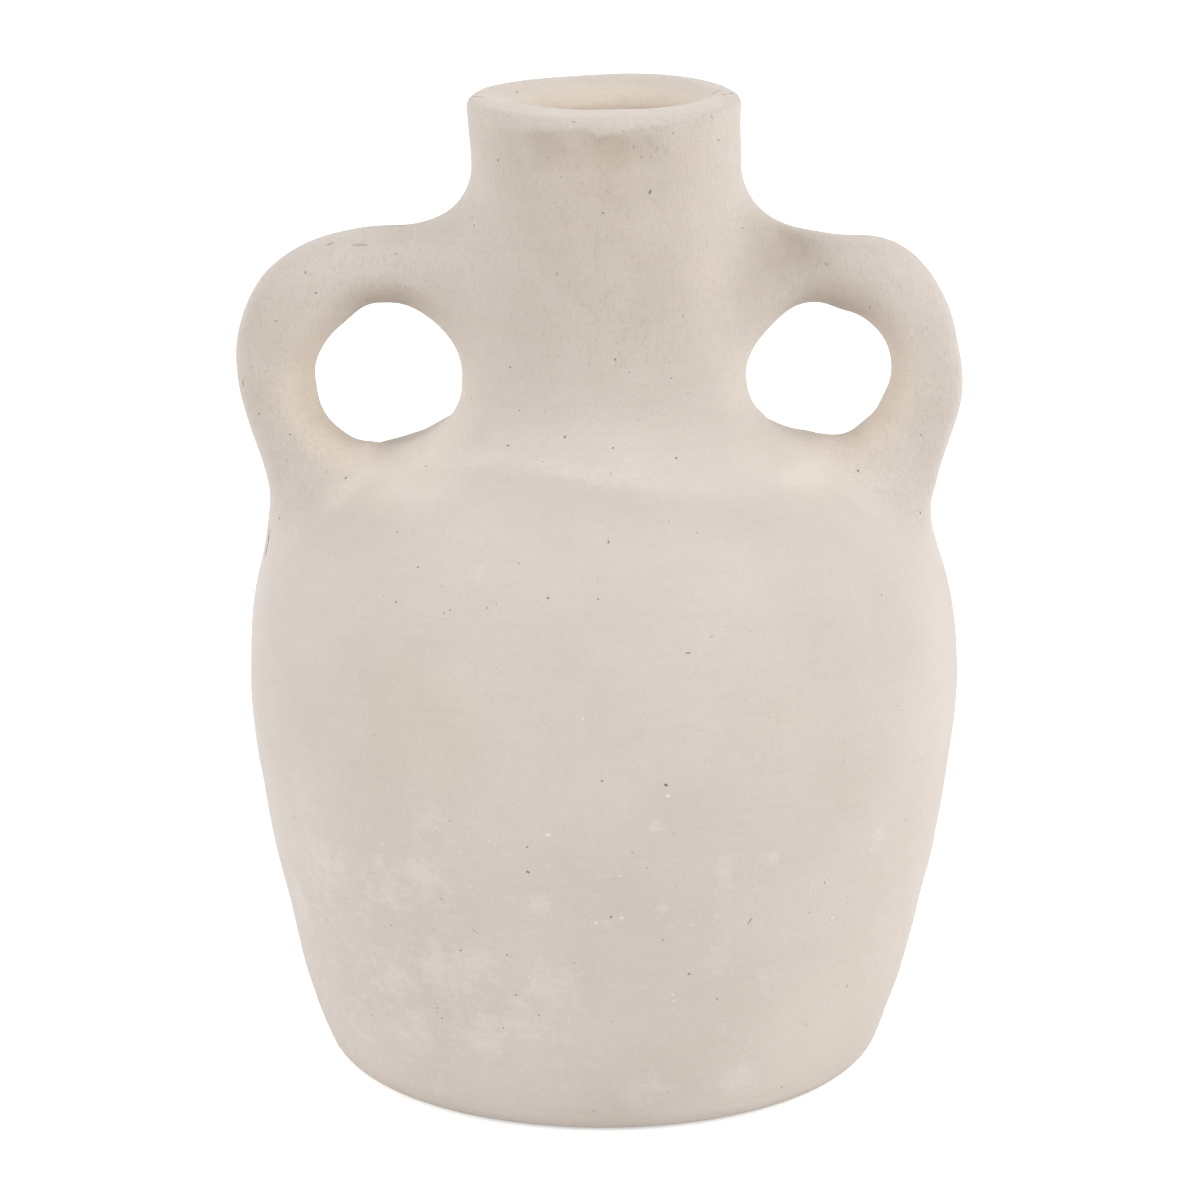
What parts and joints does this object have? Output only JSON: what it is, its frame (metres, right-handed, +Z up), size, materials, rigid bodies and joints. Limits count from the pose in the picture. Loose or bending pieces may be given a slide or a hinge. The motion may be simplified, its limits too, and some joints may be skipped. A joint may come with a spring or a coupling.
{
  "type": "vase",
  "caption": "Round-bellied unglazed clay vase with a narrow straight neck and a finger loop handle on each side, luted from pressed halves, a floor slab, rolled handles and coils.",
  "frame": {"origin": "middle of the flat foot, on the surface the vase stands on", "axes": "+Z up along the vessel's axis, X through the two handles, Y from front to rear across the seam"},
  "size_m": [0.1767, 0.175, 0.24],
  "materials": {
    "clay_outside": "unglazed off-white fired clay, sponged matt, with dark specks and pale scuffs",
    "clay_inside": "unglazed off-white fired clay, rough and slightly warmer, as left inside the vessel"
  },
  "bodies": {
    "root": {"floor_slab": "clay_outside", "front_half": "clay_outside", "rear_half": "clay_outside", "floor_coil_ring": "clay_inside", "seam_coil_left": "clay_inside", "seam_coil_right": "clay_inside", "handle_left": "clay_outside", "handle_right": "clay_outside", "neck_wad_left": "clay_outside", "neck_wad_right": "clay_outside", "shoulder_wad_left": "clay_outside", "shoulder_wad_right": "clay_outside"}
  },
  "joints": []
}
